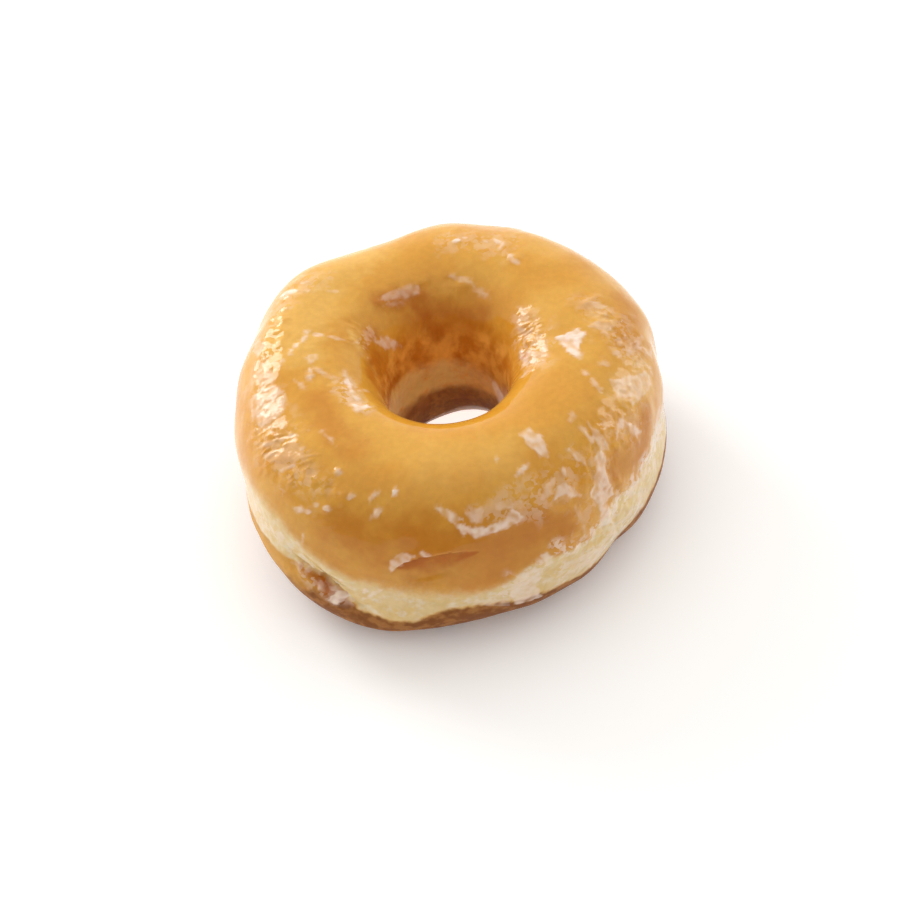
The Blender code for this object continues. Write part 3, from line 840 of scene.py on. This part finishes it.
def frayed(tree, mask, grain, width):
    """A mask whose border is broken up by grain."""
    broken = worked_out(tree, "MULTIPLY_ADD", grain, width, mask)
    return stepped(tree, broken, width / 2 + FRAY_MARGIN, width / 2 + 1 - FRAY_MARGIN)


AMBER = (0.68, 0.315, 0.030, 1)
HONEY = (0.72, 0.37, 0.050, 1)
PALE_GOLD = (0.77, 0.43, 0.085, 1)
CARAMEL = (0.60, 0.20, 0.014, 1)
RUSSET = (0.47, 0.130, 0.010, 1)
GOLDEN_TAN = (0.72, 0.41, 0.12, 1)
CREAM = (0.78, 0.57, 0.27, 1)
YELLOW_CREAM = (0.75, 0.52, 0.20, 1)
WHITE_CREAM = (0.82, 0.68, 0.48, 1)
LOWER_BROWN = (0.24, 0.082, 0.020, 1)
LOWER_TAN = (0.40, 0.165, 0.045, 1)
LOWER_GOLD = (0.66, 0.33, 0.07, 1)
# The hole's own brown and tan, brightened as painted light, since little light reaches into the hole
LIT_HOLE_BROWN = (0.95, 0.46, 0.085, 1)
LIT_HOLE_TAN = (1.0, 0.69, 0.25, 1)
SUGAR_AND_GLINT_WHITE = (0.90, 0.72, 0.60, 1)
MOTTLE_BROWN = (0.50, 0.36, 0.25, 1)
NO_TINT = (1, 1, 1, 1)

HONEY_BLOTCHES = Blotches(11 * MM, 2, 0.36, 0.68)
CARAMEL_BLOTCHES = Blotches(6 * MM, 3, 0.2, 0.8)
HOLE_BLOTCHES = Blotches(4 * MM, 4, 0.34, 0.66)
LOWER_TAN_BLOTCHES = Blotches(2.5 * MM, 4, 0.42, 0.65)
RUSSET_BLOTCHES = Blotches(5 * MM, 4, 0.0, 0.6)
YELLOW_CREAM_BLOTCHES = Blotches(3.5 * MM, 3, 0.40, 0.62)
WHITE_CREAM_BLOTCHES = Blotches(2.3 * MM, 3, 0.45, 0.80)
HOLE_BAND_BLOTCHES = Blotches(3 * MM, 4, 0.50, 0.75)
FINE_MOTTLING = Blotches(1.3 * MM, 4, 0.3, 0.7)

# How much caramel there is down the sides, how far borders are broken up and by how fine a grain, how
# widely the band's tan border and how narrowly its cream middle spread, and how strong the mottling is
CARAMEL_SHARE = 0.6
BORDER_GRAIN, LOWER_FRAY, BAND_FRAY = 0.7 * MM, 0.4, 0.3
TAN_SPREAD, CREAM_SPREAD = 0.6, 1.6
MOTTLING_SHARE = 0.13

# Splinters of haze and of painted sheen on facets, large and small: their size, and the chance values
# from which one starts to show and shows in full
LARGE_SPLINTERS = (1.6 * MM, 0.45, 0.80)
SMALL_SPLINTERS = (0.8 * MM, 0.50, 0.90)

# The coat of glaze, whole and where the crust is bare, and how bare it is over browned crust and painted
# shade
COAT, BARE_COAT, DARKENED_CRUST_BARE = 1.0, 0.2, 0.6

# The crumpled glaze's fine crinkle and the crust's pores: their size, and their depth in the crust
# and in the coat over it
CRINKLE_SIZE, CRUST_CRINKLE, COAT_CRINKLE = 1.3 * MM, 0.06 * MM, 0.05 * MM
PORE_SIZE, CRUST_PORES, COAT_PORES = 0.35 * MM, 0.03 * MM, 0.005 * MM

crust, tree, shader = shader_tree("glazed_crust")
grain = speckle(tree, BORDER_GRAIN)

# The upper crust, in the hole as well
colour = mixed(tree, blotched(tree, HONEY_BLOTCHES), AMBER, HONEY)
# Paler crust, with painted light on the far left crest and a painted highlight on the hole's left rim
colour = mixed(tree, mask_value(tree, "paler_and_lit"), colour, PALE_GOLD)
side = worked_out(tree, "SUBTRACT", 1.0, mask_value(tree, "crest"))
browning = worked_out(tree, "MULTIPLY", side, blotched(tree, CARAMEL_BLOTCHES))
colour = mixed(tree, worked_out(tree, "MULTIPLY", browning, CARAMEL_SHARE), colour, CARAMEL)
# The wall of the hole, brightened as painted light
lit_hole_wall = mixed(tree, blotched(tree, HOLE_BLOTCHES), CARAMEL, LIT_HOLE_BROWN)
colour = mixed(tree, mask_value(tree, "in_hole"), colour, lit_hole_wall)

# The lower crust, and what has browned more than the rest, with painted shade in the fold, under the crease's
# lip and on the near side
lower = mixed(tree, blotched(tree, LOWER_TAN_BLOTCHES), LOWER_BROWN, LOWER_TAN)
lower = mixed(tree, mask_value(tree, "golden"), lower, LOWER_GOLD)
colour = mixed(tree, frayed(tree, mask_value(tree, "lower_crust"), grain, LOWER_FRAY), colour, lower)
browned_and_shaded = mask_value(tree, "browned_and_shaded")
# Russet where the crust has browned, and painted shade in the fold, under the crease's lip and on the near
# side
russet = worked_out(tree, "MULTIPLY", browned_and_shaded, blotched(tree, RUSSET_BLOTCHES))
colour = mixed(tree, russet, colour, RUSSET)

# The pale bands of the proof line, outside and in the hole
pale = frayed(tree, mask_value(tree, "pale_band"), grain, BAND_FRAY)
cream = mixed(tree, blotched(tree, YELLOW_CREAM_BLOTCHES), CREAM, YELLOW_CREAM)
cream = mixed(tree, blotched(tree, WHITE_CREAM_BLOTCHES), cream, WHITE_CREAM)
colour = mixed(tree, worked_out(tree, "POWER", pale, TAN_SPREAD), colour, GOLDEN_TAN)
colour = mixed(tree, worked_out(tree, "POWER", pale, CREAM_SPREAD), colour, cream)
# The band in the hole, brightened as painted light
lit_hole_tan = mixed(tree, blotched(tree, HOLE_BAND_BLOTCHES), LIT_HOLE_TAN, LIT_HOLE_BROWN)
colour = mixed(tree, frayed(tree, mask_value(tree, "hole_band"), grain, BAND_FRAY), colour, lit_hole_tan)
mottling = mixed(tree, blotched(tree, FINE_MOTTLING), MOTTLE_BROWN, NO_TINT)
colour = mixed(tree, MOTTLING_SHARE, colour, mottling, "MULTIPLY")

# The haze in the glaze with painted sheen on its splinters, and the set sugar with the painted
# highlights, reflections and glints
large, small = (stepped(tree, splinters(tree, patch), start, full)
                for patch, start, full in (LARGE_SPLINTERS, SMALL_SPLINTERS))
frost_and_glints = worked_out(tree, "MULTIPLY", mask_value(tree, "haze_and_sheen"), worked_out(tree, "MAXIMUM", large, small))
frost_and_glints = worked_out(tree, "MAXIMUM", frost_and_glints, mask_value(tree, "sugar_and_glints"))
# Mixes in the white of haze and set sugar, and of the painted sheen, highlights and glints
colour = mixed(tree, frost_and_glints, colour, SUGAR_AND_GLINT_WHITE)
feed(tree, shader.inputs["Base Color"], colour)
shader.inputs["Roughness"].default_value = 0.5
shader.inputs["Specular IOR Level"].default_value = 0.0
shader.inputs["Subsurface Weight"].default_value = 0.2
shader.inputs["Subsurface Radius"].default_value = (1.0, 0.45, 0.16)
shader.inputs["Subsurface Scale"].default_value = 2.5 * MM

# The glaze is a clear coat, thin where the crust is bare
bare = worked_out(tree, "MAXIMUM", mask_value(tree, "lower_crust"), mask_value(tree, "hole_band"))
bare = worked_out(tree, "MAXIMUM", bare, worked_out(tree, "MULTIPLY", browned_and_shaded, DARKENED_CRUST_BARE))
feed(tree, shader.inputs["Coat Weight"], worked_out(tree, "MULTIPLY_ADD", bare, BARE_COAT - COAT, COAT))
shader.inputs["Coat Roughness"].default_value = 0.07
shader.inputs["Coat IOR"].default_value = 1.42
crinkle = speckle(tree, CRINKLE_SIZE, distortion=1.0)
crinkle = worked_out(tree, "MULTIPLY", crinkle, mask_value(tree, "crumpled"))
pores = speckle(tree, PORE_SIZE, detail=2)
feed(tree, shader.inputs["Normal"], bumped(tree, ((crinkle, CRUST_CRINKLE), (pores, CRUST_PORES))))
feed(tree, shader.inputs["Coat Normal"], bumped(tree, ((crinkle, COAT_CRINKLE), (pores, COAT_PORES))))
dough.data.materials.clear()
dough.data.materials.append(crust)
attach(dough, "root")
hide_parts("doughnut")


# The studio: a pale floor that glows a little, with a small brighter card on it, which keeps it white
# where it is seen through the hole. A tall soft window light stands behind on the left, a narrower
# and weaker one behind on the right, and the pale room is dimmer in front, behind the camera.
PAPER_WHITE = (0.95, 0.95, 0.95, 1)
FLOOR_SIZE, FLOOR_MIDDLE, FLOOR_GLOW = (3.0, 3.0), (0, 0, -0.05 * MM), 0.12
CARD_SIZE, CARD_MIDDLE, CARD_GLOW = (18 * MM, 7 * MM), (2.0 * MM, 18.5 * MM, 0.1 * MM), 0.8


def lay_paper(name, size, middle, glow):
    """Lays a flat sheet of dull white paper that gives off a little light."""
    bm = bmesh.new()
    bmesh.ops.create_grid(bm, x_segments=1, y_segments=1, size=0.5)
    bmesh.ops.scale(bm, verts=bm.verts, vec=(*size, 1))
    bmesh.ops.translate(bm, verts=bm.verts, vec=middle)
    paper = bpy.data.objects.new(name, bpy.data.meshes.new(name))
    bm.to_mesh(paper.data)
    bm.free()
    bpy.context.scene.collection.objects.link(paper)
    material, _, shader = shader_tree(name + "_paper")
    shader.inputs["Base Color"].default_value = PAPER_WHITE
    shader.inputs["Roughness"].default_value = 0.9
    shader.inputs["Specular IOR Level"].default_value = 0.0
    shader.inputs["Emission Color"].default_value = (1, 1, 1, 1)
    shader.inputs["Emission Strength"].default_value = glow
    paper.data.materials.append(material)


lay_paper("floor", FLOOR_SIZE, FLOOR_MIDDLE, FLOOR_GLOW)
lay_paper("card", CARD_SIZE, CARD_MIDDLE, CARD_GLOW)

# How far off the window lights stand, and the spot over the floor that they face
LIGHT_DISTANCE = 0.7
LIGHTS_AIM = Vector((0, 0, 0.03))


def direction(azimuth, elevation):
    """The way from the doughnut towards this azimuth and elevation, in degrees."""
    azimuth, elevation = math.radians(azimuth), math.radians(elevation)
    level = math.cos(elevation)
    return Vector((level * math.cos(azimuth), level * math.sin(azimuth), math.sin(elevation)))


def softbox(name, direction, size, power):
    """A light of this width and height that faces the doughnut from this direction."""
    light = bpy.data.objects.new(name, bpy.data.lights.new(name, "AREA"))
    light.data.shape = "RECTANGLE"
    light.data.size, light.data.size_y = size
    light.data.energy = power
    light.location = direction * LIGHT_DISTANCE + LIGHTS_AIM
    light.rotation_mode = "QUATERNION"
    light.rotation_quaternion = direction.to_track_quat("Z", "Y")
    bpy.context.scene.collection.objects.link(light)


softbox("key_light", direction(azimuth=135, elevation=22), size=(0.27, 0.44), power=2.4)
softbox("second_light", direction(azimuth=20, elevation=16), size=(0.22, 0.38), power=0.75)

# The room's brightness rises towards one side, as the cosine of the angle from there does
BRIGHT_SIDE = (-0.15, 0.70, 0.70)
DIM_UP_TO, BRIGHT_FROM = -0.7, 0.95
DIM_ROOM, BRIGHT_ROOM = 0.28, 1.17
ROOM_WHITE = (1.0, 0.98, 0.95, 1)
world = bpy.data.worlds.new("pale_room")
world.use_nodes = True
tree = world.node_tree
facing = add_node(tree, "ShaderNodeVectorMath", operation="DOT_PRODUCT")
feed(tree, facing.inputs[0], add_node(tree, "ShaderNodeTexCoord").outputs["Generated"])
facing.inputs[1].default_value = BRIGHT_SIDE
brightness = stepped(tree, facing.outputs["Value"], DIM_UP_TO, BRIGHT_FROM, DIM_ROOM, BRIGHT_ROOM)
feed(tree, tree.nodes["Background"].inputs["Strength"], brightness)
tree.nodes["Background"].inputs["Color"].default_value = ROOM_WHITE
bpy.context.scene.world = world
bpy.context.scene.view_settings.view_transform = "Standard"


# The camera looks down from the front, a little rolled. Its distance, and how many pixels a metre at
# the ring's middle fills, give its lens, and the ring's middle falls on a pixel of the picture.
CAMERA_ELEVATION = math.radians(48.0)
CAMERA_ROLL = math.radians(5.2)
CAMERA_DISTANCE = 0.460
PIXELS_PER_METRE = 4750
PICTURE_WIDTH = 900
SENSOR_WIDTH = 36
RING_MIDDLE_PIXEL = Vector((450.2, 426.2))

camera = bpy.data.objects.new("camera", bpy.data.cameras.new("camera"))
bpy.context.scene.collection.objects.link(camera)
bpy.context.scene.camera = camera
camera.data.sensor_width = SENSOR_WIDTH
camera.data.lens = PIXELS_PER_METRE * CAMERA_DISTANCE / PICTURE_WIDTH * SENSOR_WIDTH
back = Vector((0, -math.cos(CAMERA_ELEVATION), math.sin(CAMERA_ELEVATION)))
level = Vector((1, 0, 0))
upright = back.cross(level)
to_right = level * math.cos(CAMERA_ROLL) - upright * math.sin(CAMERA_ROLL)
to_top = level * math.sin(CAMERA_ROLL) + upright * math.cos(CAMERA_ROLL)
aside = (Vector((PICTURE_WIDTH / 2, PICTURE_WIDTH / 2)) - RING_MIDDLE_PIXEL) / PIXELS_PER_METRE
place = RING_AXIS + back * CAMERA_DISTANCE + to_right * aside.x - to_top * aside.y
turned = Matrix((to_right, to_top, back)).transposed().to_4x4()
camera.matrix_world = Matrix.Translation(place) @ turned
